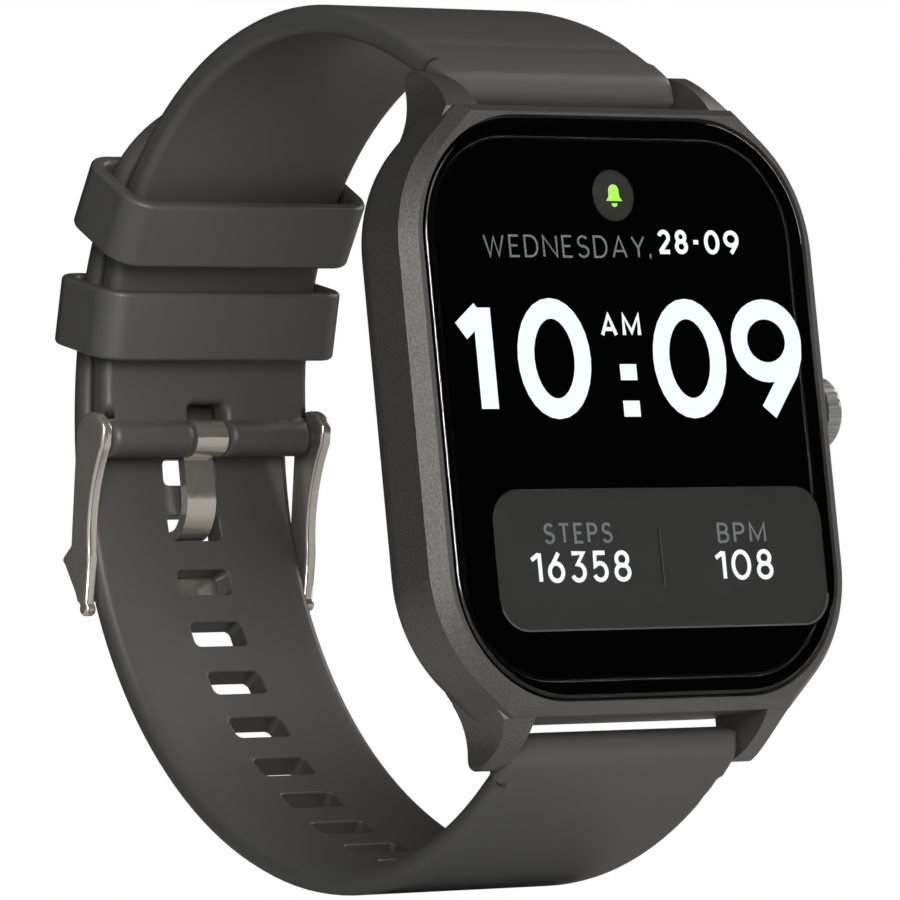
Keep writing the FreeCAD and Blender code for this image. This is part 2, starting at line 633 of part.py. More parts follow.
def hole_cutter(centre, angle):
    """One rectangular hole with rounded corners through the strap."""
    cutter = Part.makeBox(2 * HOLE_HALF_W, 6, HOLE_H, Vector(-HOLE_HALF_W, LOOP_R - 2, -HOLE_H / 2))
    corners = [e for e in cutter.Edges if abs(e.BoundBox.YLength - 6) < 1e-3]
    cutter = cutter.makeFillet(HOLE_ROUND, corners)
    cutter.rotate(Vector(0, 0, 0), Vector(1, 0, 0), angle)
    cutter.translate(Vector(0, centre[0], centre[1]))
    return cutter


def keepers():
    """Two loose loops that hold the tail against the buckle half."""
    for name, angle in KEEPER_ANGLES.items():
        outer = Part.makeBox(2 * KEEPER_HALF_W, KEEPER_OUT - KEEPER_IN + 2 * KEEPER_WALL, KEEPER_W,
                             Vector(-KEEPER_HALF_W, KEEPER_IN - KEEPER_WALL, -KEEPER_W / 2))
        inner = Part.makeBox(2 * (KEEPER_HALF_W - KEEPER_WALL), KEEPER_OUT - KEEPER_IN, KEEPER_W + 2,
                             Vector(KEEPER_WALL - KEEPER_HALF_W, KEEPER_IN, -KEEPER_W / 2 - 1))
        outer = outer.makeFillet(KEEPER_ROUND, [e for e in outer.Edges if e.BoundBox.ZLength > KEEPER_W - 0.1])
        inner = inner.makeFillet(KEEPER_ROUND - KEEPER_WALL,
                                 [e for e in inner.Edges if e.BoundBox.ZLength > KEEPER_W + 1])
        loop = outer.cut(inner)
        loop.rotate(Vector(0, 0, 0), Vector(1, 0, 0), angle)
        loop.translate(Vector(0, ARC_Y, ARC_Z))
        put(name, loop)


# ---------------------------------------------------------------- buckle
def plate_profile():
    """Side plate of the buckle: round head on the bar, curved arm, thumb point and tapered end."""
    def at(dy, dz):
        return Vector(0, depth(dy), dz)

    edges = [
        arc_edge(at(56.65, 6.6), at(54.75, 7.85), at(52.8, 6.3)),
        line_edge(at(52.8, 6.3), at(53.15, 4.95)),
        arc_edge(at(53.15, 4.95), at(55.55, 0.6), at(56.45, -3.6)),
        line_edge(at(56.45, -3.6), at(57.45, -7.0)),
        arc_edge(at(57.45, -7.0), at(57.9, -8.0), at(58.3, -7.1)),
        line_edge(at(58.3, -7.1), at(59.9, -3.6)),
        arc_edge(at(59.9, -3.6), at(60.1, -3.2), at(59.8, -2.85)),
        line_edge(at(59.8, -2.85), at(58.78, -2.2)),
        line_edge(at(58.78, -2.2), at(56.65, 6.6)),
    ]
    return Part.Wire(edges)


def buckle_parts():
    by, bz = bar_centre()
    plate = prism_x(plate_profile(), PLATE_IN, PLATE_OUT)
    middle = LOOP_R + TAIL_T + CROSS_GAP + CROSS_T / 2
    cross_y, cross_z = polar(*tail_centres()[1], middle, CROSS_FROM)
    outline = ribbon(cross_y, cross_z, CROSS_FROM - 90, [("arc", middle, CROSS_TURN)], CROSS_T / 2, CROSS_T / 2)
    crossbar = prism_x(outline, -PLATE_IN - 0.3, PLATE_IN + 0.3)
    frame = fuse_all(both_sides(plate) + [crossbar])
    frame = frame.cut(rod_x(-PLATE_OUT + 0.25, PLATE_OUT - 0.25, by, bz, BUCKLE_BAR_R))
    put("buckle_frame", frame)
    put("buckle_bar", rod_x(-PLATE_OUT + 0.25, PLATE_OUT - 0.25, by, bz, BUCKLE_BAR_R))
    pieces = [("line", 4.325), ("arc", 3.6, 50.0), ("arc", 1.5, 35.0), ("line", 0.5)]
    half = TONGUE_T / 2
    start = by + TONGUE_OFFSET
    tail = prism_x(ribbon(start, bz, -90, pieces, half, half), -TONGUE_HALF_W, TONGUE_HALF_W)
    tip = tail_end(start, bz, -90, pieces)
    nose = rod_x(-TONGUE_HALF_W, TONGUE_HALF_W, tip[0], tip[1], half)
    ring = rod_x(-RING_HALF_W, RING_HALF_W, by, bz, RING_R)
    tongue = fuse_all([ring, tail, nose])
    tongue = tongue.cut(rod_x(-3, 3, by, bz, BUCKLE_BAR_R + RUNNING))
    put("buckle_tongue", tongue)


def tail_end(y, z, heading, pieces):
    """Where a ribbon's mid line ends."""
    for piece in pieces:
        if piece[0] == "line":
            y, z = polar(y, z, piece[1], heading)
        else:
            sign = 1.0 if piece[2] > 0 else -1.0
            cy, cz = polar(y, z, piece[1], heading + sign * 90)
            y, z = polar(cy, cz, piece[1], heading - sign * 90 + piece[2])
            heading += piece[2]
    return y, z


def main():
    os.makedirs("parts", exist_ok=True)
    case_frame()
    front_parts()
    inner_parts()
    back_parts()
    crown_parts()
    spring_bars()
    buckle_strap()
    holed_strap()
    keepers()
    buckle_parts()


main()
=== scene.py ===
import json
import math

import bmesh
import bpy
from mathutils import Matrix, Vector
from mathutils.geometry import delaunay_2d_cdt


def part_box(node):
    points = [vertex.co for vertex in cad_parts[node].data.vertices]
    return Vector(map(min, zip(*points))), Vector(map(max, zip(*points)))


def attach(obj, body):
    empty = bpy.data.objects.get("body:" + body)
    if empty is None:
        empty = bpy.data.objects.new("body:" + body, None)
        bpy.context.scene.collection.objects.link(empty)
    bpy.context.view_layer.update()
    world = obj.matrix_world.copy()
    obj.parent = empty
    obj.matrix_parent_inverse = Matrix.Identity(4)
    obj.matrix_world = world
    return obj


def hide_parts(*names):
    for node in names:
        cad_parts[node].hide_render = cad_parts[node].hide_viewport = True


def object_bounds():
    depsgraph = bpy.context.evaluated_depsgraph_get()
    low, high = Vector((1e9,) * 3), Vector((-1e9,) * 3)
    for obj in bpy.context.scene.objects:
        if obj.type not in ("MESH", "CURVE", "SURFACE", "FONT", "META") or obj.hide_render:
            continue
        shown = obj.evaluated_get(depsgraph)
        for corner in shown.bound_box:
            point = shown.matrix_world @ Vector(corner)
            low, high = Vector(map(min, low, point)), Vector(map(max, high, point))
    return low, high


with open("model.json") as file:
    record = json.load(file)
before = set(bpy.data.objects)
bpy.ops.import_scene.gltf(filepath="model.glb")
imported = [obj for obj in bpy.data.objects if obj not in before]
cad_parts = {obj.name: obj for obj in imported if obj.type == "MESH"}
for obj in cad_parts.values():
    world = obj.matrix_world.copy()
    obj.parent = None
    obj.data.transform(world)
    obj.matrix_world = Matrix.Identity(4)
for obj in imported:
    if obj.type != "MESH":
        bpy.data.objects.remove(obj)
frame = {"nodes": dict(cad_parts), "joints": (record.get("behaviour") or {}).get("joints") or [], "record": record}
cad_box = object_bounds()

# A smartwatch whose rubber strap is buckled in a closed loop.
# Sizes are millimetres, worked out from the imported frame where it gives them, and MM turns them into metres.
# X points to the crown, Y from the glass into the wrist, Z to 12 o'clock.
MM = 0.001


def joint_place(name):
    """Y and Z of a joint's axis, in millimetres."""
    place = [j for j in frame["joints"] if j["name"] == name][0]["pos_m"]
    return place[1] / MM, place[2] / MM


def box_mm(node):
    """Lowest and highest corner of a node, in millimetres."""
    low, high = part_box(node)
    return [v / MM for v in low], [v / MM for v in high]


def middle(node, axis):
    low, high = box_mm(node)
    return (low[axis] + high[axis]) / 2


FRONT = box_mm("cover_glass")[0][1]

# strap
ARC_Y, ARC_Z = joint_place("upper_keeper_slide")   # centre of the arc that both halves share
LUG_BAR_Y = middle("top_bar_tube", 1)
LUG_BAR_Z = middle("top_bar_tube", 2)
BUCKLE_HALF_R = 27.15              # inner face of the buckle half on the shared arc
BUCKLE_HALF_T = 2.3
BUCKLE_HALF_FROM = 0.9             # degrees above +Y
CREST = 106.8
TAIL_R = 29.8                      # inner face of the holed half on the shared arc
TAIL_T = 2.0
TAIL_TIP = 59.0
TAIL_TURN = 21.0
BELLY_R = 40.4
BELLY_TURN = 1.7
LOOP_R = 33.4
LOOP_TURN = -69.0
STRAP_WIDE = 10.55                 # half widths at the lugs and at the buckle
STRAP_NARROW = 9.95
TAPER_FROM = FRONT + 9.0
TAPER_TO = FRONT + 30.0
STRAP_EDGE = 0.8                   # rounding of the strap's long edges
KNUCKLE_R = 1.6
KNUCKLE_HALF_W = 10.9
ROLL_R = 1.55
ROLL_HALF_W = 9.7
SLOT_HALF_W = 1.75
SLOT_REACH = 2.7
SLOT_CORNER = 0.5
GROOVE_PLACE = 4.0                 # shallow step across the strap, from the lug bar
GROOVE_DEPTH = 0.06
GROOVE_SPREAD = 0.55

HOLES = 12
HOLE_FIRST = 2.8                   # degrees about the centre of the loop arc
HOLE_PITCH = 7.76
HOLE_HALF_W = 2.5
HOLE_HALF_H = 1.075
HOLE_CORNER = 0.5
HOLE_EDGE = 0.16

KEEPERS = {"upper_keeper": ("keeper_upper", 37.7), "lower_keeper": ("keeper_lower", 20.3)}
KEEPER_HALF_W = 11.7
KEEPER_WALL = 1.2
KEEPER_IN = 24.75
KEEPER_OUT = 33.5
KEEPER_LONG = 5.5
KEEPER_ROUND = 2.4
KEEPER_EDGE = 0.35

# buckle, depth below the glass and Z
PLATE_IN = 10.2
PLATE_OUT = 11.2
PLATE_EDGE = 0.28
CROSS_GAP = 0.25                   # between the holed strap and the crossbar, which follows its curve
CROSS_T = 0.45
CROSS_FROM = -7.9
CROSS_TURN = -5.6
# side arm: three points on each of its arcs, and the corner that closes it
PLATE_HEAD = ((56.65, 6.6), (54.75, 7.85), (52.8, 6.3))
PLATE_NEAR_EDGE = ((53.15, 4.95), (55.55, 0.6), (56.45, -3.6))
PLATE_LOWER_TIP = ((57.45, -7.0), (57.9, -8.0), (58.3, -7.1))
PLATE_THUMB = ((59.9, -3.6), (60.1, -3.2), (59.8, -2.85))
PLATE_CORNER = (58.78, -2.2)

# small roundings on the nodes shown as they are
ROUNDINGS = {"case_frame": 0.14, "cover_glass": 0.12, "crown": 0.05, "buckle_tongue": 0.16,
             "back_cover": 0.12, "sensor_window": 0.12}
ROUNDING_SEGMENTS = 3
SHARP_ANGLE = 30.0                 # degrees
NORMAL_WEIGHT = 80

# the picture on the screen, in X and Z; SCREEN_NEAR to SCREEN_FAR is its depth in the glass
SCREEN_NEAR = 0.80
SCREEN_FAR = 0.86
PANEL_BOX = (-13.8, 17.35, -16.55, -5.65)
PANEL_ROUND = 2.5
PANEL_DROP = 0.4                   # from the top of its box to the panel's own edge
PANEL_NEAR = 0.868
PANEL_FAR = 0.88
RIM_THICK = 0.14
HAIRLINE = 0.05
HAIRLINE_ENDS = [(1.72, -9.15), (1.72, -13.45)]
DIVIDER_ENDS = [(1.6, -9.1), (1.6, -13.4)]
BELL_X = 0.42
BELL_Z = 16.0
BELL_PANEL_R = 1.95
DOME_R = 0.48
CLAPPER_R = 0.27

# writing on the screen: text, left, right, bottom, top and thickness of its lines
TIME_ROWS = [
    ("1", -15.85, -12.25, -0.7, 8.1, 1.56),
    ("0", -10.05, -3.25, -0.85, 8.2, 1.52),
    ("0", 2.7, 9.65, -0.85, 8.2, 1.52),
    ("9", 10.35, 17.1, -0.85, 8.2, 1.52),
]
FIGURE_ROWS = [
    ("AM", -2.05, 1.75, 5.3, 7.1, 0.3),
    ("28-09", 4.2, 12.0, 11.6, 13.45, 0.33),
    ("16358", -10.75, -1.35, -13.05, -10.7, 0.33),
    ("108", 6.65, 12.25, -13.1, -10.8, 0.33),
]
LABEL_ROWS = [
    ("WEDNESDAY,", -12.27, 3.4, 11.25, 12.95, 0.16),
    ("STEPS", -9.2, -2.8, -10.15, -8.6, 0.2),
    ("BPM", 7.2, 11.85, -10.3, -8.75, 0.2),
]
DOT_LEFT = -0.56                   # the two square dots in the time
DOT_RIGHT = 0.98
DOT_HIGH = 1.2
DOT_BOTTOMS = (2.05, -0.7)

# softboxes: direction from the watch, distance and size in metres, power and colour
LIGHTS = [
    ("front_left", (-0.45, -0.9, 0.0), 0.8, (0.5, 0.5), 17.0, (1.0, 0.99, 0.97)),
    ("front_high", (-0.3, -0.8, 0.6), 0.8, (0.5, 0.5), 2.4, (0.97, 1.0, 0.95)),
    ("right_high", (0.9, -0.1, 0.45), 0.8, (0.4, 0.5), 3.2, (1.0, 0.92, 0.88)),
    ("right_low", (0.75, 0.1, -0.65), 0.8, (0.5, 0.5), 0.9, (1.0, 0.77, 0.63)),
]
FLOOR_HALF = 1.5                   # half the floor's side, in metres
FLOOR_DROP = 0.4                   # below the watch
WORLD_LIGHT = 0.025
WORLD_COLOUR = (0.9, 0.95, 1.0)

# grain of the surfaces
GRAIN_LOW = 0.3                    # part of the noise's range that is used
GRAIN_HIGH = 0.7
GRAIN_DETAIL = 3.0
GRAIN_DEPTH = 0.3                  # share of the grain's size
SMOOTHEST = 0.02                   # lowest roughness

# camera, aimed along the axis of the lens
AIM = Vector((0.0, 12.31, 0.09)) * MM
CAMERA_TURN = 37.385               # degrees to the left of the glass
CAMERA_RISE = -6.440
CAMERA_ROLL = -5.369
CAMERA_DISTANCE = 617.5
LENS = 322.5
SENSOR = 36.0
NEAREST = 0.01                     # metres
FARTHEST = 20.0

# mesh density
SMOOTH_STEPS = 10                  # steps in a quarter turn of a strap end
TIP_STEPS = 36                     # steps round the strap's tip
ACROSS = 14                        # parts across a strap
ROW_SPACING = 1.4                  # rows of points along a strap, and closer beside the knuckle
KNUCKLE_SPACING = 0.5
GROOVE_SPACING = 0.35
GROOVE_ROWS = 4                    # rows on each side of the groove's middle
TIP_SPACING = 1.5
TIP_REACH = 10.0                   # half the width over which the tip's rows are laid
ROW_MARGIN = 0.4                   # left clear beside the strap's edges
END_OVERLAP = 0.05                 # a round end's own width starts this much before it
MERGE_DISTANCE = 0.002
SMALLEST_EDGE = 0.001
FLATTEST = 0.49                    # largest rounding as a share of the thickness


# ---------------------------------------------------------------- meshes
def new_object(name, bm, material, body="watch", smooth=True):
    """Turns a bmesh drawn in millimetres into a piece that rides on a body."""
    bmesh.ops.scale(bm, vec=(MM, MM, MM), verts=bm.verts)
    bmesh.ops.recalc_face_normals(bm, faces=bm.faces)
    mesh = bpy.data.meshes.new(name)
    bm.to_mesh(mesh)
    bm.free()
    mesh.polygons.foreach_set("use_smooth", [smooth] * len(mesh.polygons))
    mesh.materials.append(material)
    piece = bpy.data.objects.new(name, mesh)
    bpy.context.scene.collection.objects.link(piece)
    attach(piece, body)
    return piece


def weigh_normals(piece):
    """Lets the large faces set the shading, so that flat faces stay flat beside small roundings."""
    modifier = piece.modifiers.new("normals", "WEIGHTED_NORMAL")
    modifier.mode = "FACE_AREA"
    modifier.weight = NORMAL_WEIGHT


def arc_points(cx, cy, radius, start, end, steps):
    """Points on an arc, with angles in degrees."""
    angles = [math.radians(start + (end - start) * i / steps) for i in range(steps + 1)]
    return [(cx + radius * math.cos(a), cy + radius * math.sin(a)) for a in angles]


def rounded_rectangle(cx, cy, half_w, half_h, corners, steps=5):
    """Closed outline, anticlockwise from the lower right; corners are the four radii in that order."""
    points = []
    signs = ((1, -1), (1, 1), (-1, 1), (-1, -1))
    for i, (sx, sy) in enumerate(signs):
        r = corners[i]
        points += arc_points(cx + sx * (half_w - r), cy + sy * (half_h - r), r,
                             -90 + 90 * i, 90 * i, steps)
    return points


def inward_normals(outline):
    """Unit mitre directions into an anticlockwise outline."""
    normals = []
    count = len(outline)
    for i in range(count):
        before = Vector(outline[i]) - Vector(outline[i - 1])
        after = Vector(outline[(i + 1) % count]) - Vector(outline[i])
        n1 = Vector((-before.y, before.x)).normalized()
        n2 = Vector((-after.y, after.x)).normalized()
        mean = (n1 + n2).normalized()
        normals.append(mean / max(mean.dot(n1), 0.5))
    return normals


def inside(point, outline):
    """Even-odd test."""
    x, y = point
    odd = False
    for i in range(len(outline)):
        ax, ay = outline[i - 1]
        bx, by = outline[i]
        if (ay > y) != (by > y) and x < ax + (y - ay) * (bx - ax) / (by - ay):
            odd = not odd
    return odd


def fill(outline, holes, extra):
    """Triangles that fill an outline round its holes, through the extra points inside."""
    verts = [Vector(p) for p in outline]
    edges = [(i, (i + 1) % len(outline)) for i in range(len(outline))]
    for hole in holes:
        base = len(verts)
        verts += [Vector(p) for p in hole]
        edges += [(base + i, base + (i + 1) % len(hole)) for i in range(len(hole))]
    verts += [Vector(p) for p in extra]
    points, _, faces, _, _, _ = delaunay_2d_cdt(verts, edges, [], 0, 1e-6)
    kept = []
    for face in faces:
        centre = sum((points[i] for i in face), Vector((0, 0))) / len(face)
        if inside(centre, outline) and not any(inside(centre, h) for h in holes):
            kept.append(face)
    return points, kept


def rounded_slab(outline, holes, rows, place, heights, edge, hole_edge, rings=5):
    """A sheet with thickness, bent by place(), with rounded rims round its outline and its holes.

    outline is anticlockwise and holes are clockwise lists of (s, x); rows are the points inside.
    heights(s) gives top and bottom, and place(s, x, h) the point in space.
    """
    bm = bmesh.new()

    def rim(path, radius):
        """Rings of vertices from the top face round the rim to the bottom face, and the face's border."""
        normals = inward_normals(path)
        loops = []
        for side in (1, -1):
            for k in range(rings + 1):
                turn = math.radians(90 * k / rings if side > 0 else 90 - 90 * k / rings)
                loop = []
                for (s, x), n in zip(path, normals):
                    top, bottom = heights(s)
                    r = min(radius, (top - bottom) * FLATTEST)
                    inset = r * (1 - math.sin(turn))
                    ps, px = s + n.x * inset, x + n.y * inset
                    top, bottom = heights(ps)
                    drop = r * (1 - math.cos(turn))
                    loop.append(bm.verts.new(place(ps, px, top - drop if side > 0 else bottom + drop)))
                loops.append(loop)
        border = []
        for (s, x), n in zip(path, normals):
            top, bottom = heights(s)
            r = min(radius, (top - bottom) * FLATTEST)
            border.append((s + n.x * r, x + n.y * r))
        for a, b in zip(loops, loops[1:]):
            for i in range(len(path)):
                j = (i + 1) % len(path)
                bm.faces.new((a[i], a[j], b[j], b[i]))
        return border

    borders = [rim(outline, edge)] + [rim(h, hole_edge) for h in holes]
    inner = [p for p in rows if inside(p, borders[0]) and not any(inside(p, h) for h in borders[1:])]
    points, faces = fill(borders[0], borders[1:], inner)
    for side in (0, 1):
        verts = [bm.verts.new(place(p.x, p.y, heights(p.x)[side])) for p in points]
        for face in faces:
            bm.faces.new([verts[i] for i in face])
    bmesh.ops.remove_doubles(bm, verts=bm.verts, dist=MERGE_DISTANCE)
    bmesh.ops.dissolve_degenerate(bm, edges=bm.edges, dist=SMALLEST_EDGE)
    return bm


def sweep(stations, closed_path):
    """Skin over rings of points that all have the same count, capped unless the path is closed."""
    bm = bmesh.new()
    rings = [[bm.verts.new(p) for p in ring] for ring in stations]
    pairs = list(zip(rings, rings[1:]))
    if closed_path:
        pairs.append((rings[-1], rings[0]))
    for a, b in pairs:
        for i in range(len(a)):
            j = (i + 1) % len(a)
            bm.faces.new((a[i], a[j], b[j], b[i]))
    if not closed_path:
        bm.faces.new(rings[0])
        bm.faces.new(rings[-1])
    return bm


# ---------------------------------------------------------------- strap routes
class Route:
    """A line of arcs in the plane X = 0. Each piece is (centre y, centre z, radius, from, to) in degrees."""

    def __init__(self, pieces):
        self.pieces = pieces
        self.lengths = [abs(math.radians(p[4] - p[3])) * p[2] for p in pieces]
        self.length = sum(self.lengths)

    def at(self, s):
        """Centre and angle of the arc at a length along the route; it runs on past both ends."""
        index = 0
        while index < len(self.pieces) - 1 and s > self.lengths[index]:
            s -= self.lengths[index]
            index += 1
        cy, cz, radius, start, end = self.pieces[index]
        sign = 1 if end > start else -1
        return cy, cz, radius, math.radians(start) + sign * s / radius

    def place(self, s, x, h):
        cy, cz, radius, angle = self.at(s)
        return Vector((x, cy + (radius + h) * math.cos(angle), cz + (radius + h) * math.sin(angle)))


def polar(cy, cz, radius, degrees):
    a = math.radians(degrees)
    return cy + radius * math.cos(a), cz + radius * math.sin(a)


def to_knuckle(cy, cz, outer, degrees, bar_z):
    """Centre, outer radius and end angle of the arc that leaves another and lies tangent on a knuckle."""
    ny, nz = math.cos(math.radians(degrees)), math.sin(math.radians(degrees))
    wy, wz = LUG_BAR_Y - cy, bar_z - cz
    reach = outer - KNUCKLE_R
    shift = (wy * wy + wz * wz - reach * reach) / (2 * (reach - (wy * ny + wz * nz)))
    new_y, new_z = cy - shift * ny, cz - shift * nz
    end = math.degrees(math.atan2(bar_z - new_z, LUG_BAR_Y - new_y))
    return new_y, new_z, outer + shift, end % 360


def buckle_half_route():
    mid = BUCKLE_HALF_R + BUCKLE_HALF_T / 2
    y, z, outer, end = to_knuckle(ARC_Y, ARC_Z, mid + BUCKLE_HALF_T / 2, CREST, LUG_BAR_Z)
    return Route([(ARC_Y, ARC_Z, mid, BUCKLE_HALF_FROM, CREST),
                  (y, z, outer - BUCKLE_HALF_T / 2, CREST, end)])


def loop_centre():
    belly = polar(ARC_Y, ARC_Z, TAIL_R - BELLY_R, TAIL_TURN)
    return polar(belly[0], belly[1], BELLY_R - LOOP_R, BELLY_TURN)


def holed_half_route():
    half = TAIL_T / 2
    belly = polar(ARC_Y, ARC_Z, TAIL_R - BELLY_R, TAIL_TURN)
    loop = loop_centre()
    y, z, outer, end = to_knuckle(loop[0], loop[1], LOOP_R + TAIL_T, LOOP_TURN, -LUG_BAR_Z)
    return Route([(ARC_Y, ARC_Z, TAIL_R + half, TAIL_TIP, TAIL_TURN),
                  (belly[0], belly[1], BELLY_R + half, TAIL_TURN, BELLY_TURN),
                  (loop[0], loop[1], LOOP_R + half, BELLY_TURN, LOOP_TURN),
                  (y, z, outer - half, LOOP_TURN, end - 360)])


def strap_half_width(route, s):
    """The strap narrows between two depths below the glass."""
    y = route.place(s, 0, 0).y
    share = min(max((y - TAPER_FROM) / (TAPER_TO - TAPER_FROM), 0), 1)
    return STRAP_WIDE + (STRAP_NARROW - STRAP_WIDE) * share


def round_end(ds, radius, half):
    """Top and bottom of a strap near a round end; ds is the length past the axis of the round."""
    centre = half - radius
    reach = math.sqrt(max(radius * radius - ds * ds, 0.0))
    top = half if ds < 0 else centre + reach
    bottom = min(-half, centre - reach) if ds < 0 else centre - reach
    return top, bottom


def groove(ds):
    """Shallow step across the outer face, ds from the lug bar."""
    return GROOVE_DEPTH * math.exp(-((ds + GROOVE_PLACE) / GROOVE_SPREAD) ** 2)


def end_stations(radius):
    """Lengths past the axis of a round end, closer together towards its tip."""
    steps = [math.radians(90 * i / SMOOTH_STEPS) for i in range(-SMOOTH_STEPS, SMOOTH_STEPS + 1)]
    return [radius * math.sin(a) for a in steps]


def groove_stations(route):
    """Lengths close together about the groove."""
    middle_s = route.length - GROOVE_PLACE
    return [middle_s + GROOVE_SPACING * i for i in range(-GROOVE_ROWS, GROOVE_ROWS + 1)]


def grid_rows(stations, half_width):
    """Points inside the strap, in rows at the stations."""
    rows = []
    for s in stations:
        w = half_width(s) - ROW_MARGIN
        rows += [(s, -w + 2 * w * i / ACROSS) for i in range(1, ACROSS)]
    return rows


def between(start, end, spacing):
    """Evenly spaced lengths, ends left out."""
    count = max(int(round((end - start) / spacing)), 1)
    return [start + (end - start) * i / count for i in range(1, count)]


# ---------------------------------------------------------------- strap pieces
def make_buckle_strap(material):
    route = buckle_half_route()
    half = BUCKLE_HALF_T / 2

    def heights(s):
        if s < route.length / 2:
            return round_end(-s, ROLL_R, half)
        ds = s - route.length
        top, bottom = round_end(ds, KNUCKLE_R, half)
        return top - groove(ds), bottom

    def half_width(s):
        if s > route.length - KNUCKLE_R - END_OVERLAP:
            return KNUCKLE_HALF_W
        return ROLL_HALF_W if s < ROLL_R - END_OVERLAP else strap_half_width(route, s)

    roll = [-d for d in reversed(end_stations(ROLL_R))]
    knuckle = [route.length + d for d in end_stations(KNUCKLE_R)]
    groove_rows = groove_stations(route)
    body = between(roll[-1], groove_rows[0], ROW_SPACING)
    near_knuckle = between(groove_rows[-1], knuckle[0], KNUCKLE_SPACING)
    stations = roll + body + groove_rows + near_knuckle + knuckle
    upper = [(s, half_width(s)) for s in stations]
    lower = [(s, -half_width(s)) for s in stations]
    slot = [(-ROLL_R, -SLOT_HALF_W), (-ROLL_R, SLOT_HALF_W)]
    slot_stations = [s for s in stations if -ROLL_R < s < SLOT_REACH - SLOT_CORNER]
    corner = arc_points(SLOT_REACH - SLOT_CORNER, SLOT_HALF_W - SLOT_CORNER, SLOT_CORNER, 90, 0, 4)
    mouth = [slot[1]] + [(s, SLOT_HALF_W) for s in slot_stations] + corner
    mouth += [(s, -x) for s, x in reversed(mouth)]
    outline = lower + upper[::-1] + mouth
    rows = grid_rows(stations[1:-1], half_width)
    bm = rounded_slab(outline, [], rows, route.place, heights, STRAP_EDGE, STRAP_EDGE)
    piece = new_object("buckle_strap_skin", bm, material)
    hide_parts("buckle_strap")
    weigh_normals(piece)


def make_holed_strap(material):
    route = holed_half_route()
    half = TAIL_T / 2

    def heights(s):
        ds = s - route.length
        top, bottom = round_end(ds, KNUCKLE_R, half)
        return top - groove(ds), bottom

    def half_width(s):
        return KNUCKLE_HALF_W if s > route.length - KNUCKLE_R - END_OVERLAP else strap_half_width(route, s)

    knuckle = [route.length + d for d in end_stations(KNUCKLE_R)]
    groove_rows = groove_stations(route)
    tip = arc_points(STRAP_NARROW, 0, STRAP_NARROW, 270, 90, TIP_STEPS)
    body = between(STRAP_NARROW, groove_rows[0], ROW_SPACING)
    near_knuckle = between(groove_rows[-1], knuckle[0], KNUCKLE_SPACING)
    stations = body + groove_rows + near_knuckle + knuckle
    lower = [(s, -half_width(s)) for s in stations]
    upper = [(s, half_width(s)) for s in stations]
    outline = lower + upper[::-1] + tip[::-1]
    holes = [hole_outline(hole_place(route, HOLE_FIRST - i * HOLE_PITCH)) for i in range(HOLES)]
    tip_lengths = between(0, STRAP_NARROW + ROW_SPACING, ROW_SPACING)
    tip_rows = [(s, x) for s in tip_lengths for x in between(-TIP_REACH, TIP_REACH, TIP_SPACING)]
    rows = tip_rows + grid_rows(stations[1:-1], half_width)
    bm = rounded_slab(outline, holes, rows, route.place, heights, STRAP_EDGE, HOLE_EDGE)
    piece = new_object("holed_strap_skin", bm, material)
    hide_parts("holed_strap")
    weigh_normals(piece)


def hole_place(route, degrees):
    """Length along the route of a hole given by its angle about the centre of the loop arc."""
    before = sum(route.lengths[:2])
    return before + math.radians(BELLY_TURN - degrees) * route.pieces[2][2]


def hole_outline(s):
    """A hole's outline, clockwise so that its rim turns into the strap."""
    return rounded_rectangle(s, 0, HOLE_HALF_H, HOLE_HALF_W, [HOLE_CORNER] * 4)[::-1]


def make_keeper(node, body, degrees, material):
    """A loop of constant wall, with rounded corners and edges."""
    half_h = (KEEPER_OUT - KEEPER_IN) / 2
    centre = (KEEPER_OUT + KEEPER_IN) / 2
    outline = rounded_rectangle(0, centre, KEEPER_HALF_W, half_h, [KEEPER_ROUND] * 4, 10)
    normals = inward_normals(outline)
    section = rounded_rectangle(KEEPER_WALL / 2, 0, KEEPER_WALL / 2, KEEPER_LONG / 2, [KEEPER_EDGE] * 4, 4)
    turn = math.radians(degrees)
    radial = Vector((0, math.cos(turn), math.sin(turn)))
    along = Vector((0, -math.sin(turn), math.cos(turn)))
    origin = Vector((0, ARC_Y, ARC_Z))
    stations = []
    for (x, r), n in zip(outline, normals):
        ring = []
        for inset, length in section:
            across = Vector((x + n.x * inset, 0, 0))
            ring.append(origin + across + radial * (r + n.y * inset) + along * length)
        stations.append(ring)
    piece = new_object(node + "_skin", sweep(stations, True), material, body)
    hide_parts(node)
    weigh_normals(piece)


# ---------------------------------------------------------------- buckle
def arc_through(a, b, c, steps=10):
    """Points on the arc from a through b to c."""
    ax, ay = a
    bx, by = b
    cx, cy = c
    d = 2 * (ax * (by - cy) + bx * (cy - ay) + cx * (ay - by))
    sa, sb, sc = ax * ax + ay * ay, bx * bx + by * by, cx * cx + cy * cy
    ox = (sa * (by - cy) + sb * (cy - ay) + sc * (ay - by)) / d
    oy = (sa * (cx - bx) + sb * (ax - cx) + sc * (bx - ax)) / d
    start, end = [math.degrees(math.atan2(y - oy, x - ox)) for x, y in (a, c)]
    turn = (end - start) % 360 if (bx - ax) * (cy - ay) > (by - ay) * (cx - ax) else -((start - end) % 360)
    return arc_points(ox, oy, math.hypot(ax - ox, ay - oy), start, start + turn, steps)


def plate_outline():
    """Side arm of the buckle, anticlockwise: round head, curved near edge, lower tip, thumb point."""
    outline = arc_through(*PLATE_HEAD, 16)
    outline += arc_through(*PLATE_NEAR_EDGE, 16)
    outline += arc_through(*PLATE_LOWER_TIP)
    outline += arc_through(*PLATE_THUMB, 6)
    return outline + [PLATE_CORNER]


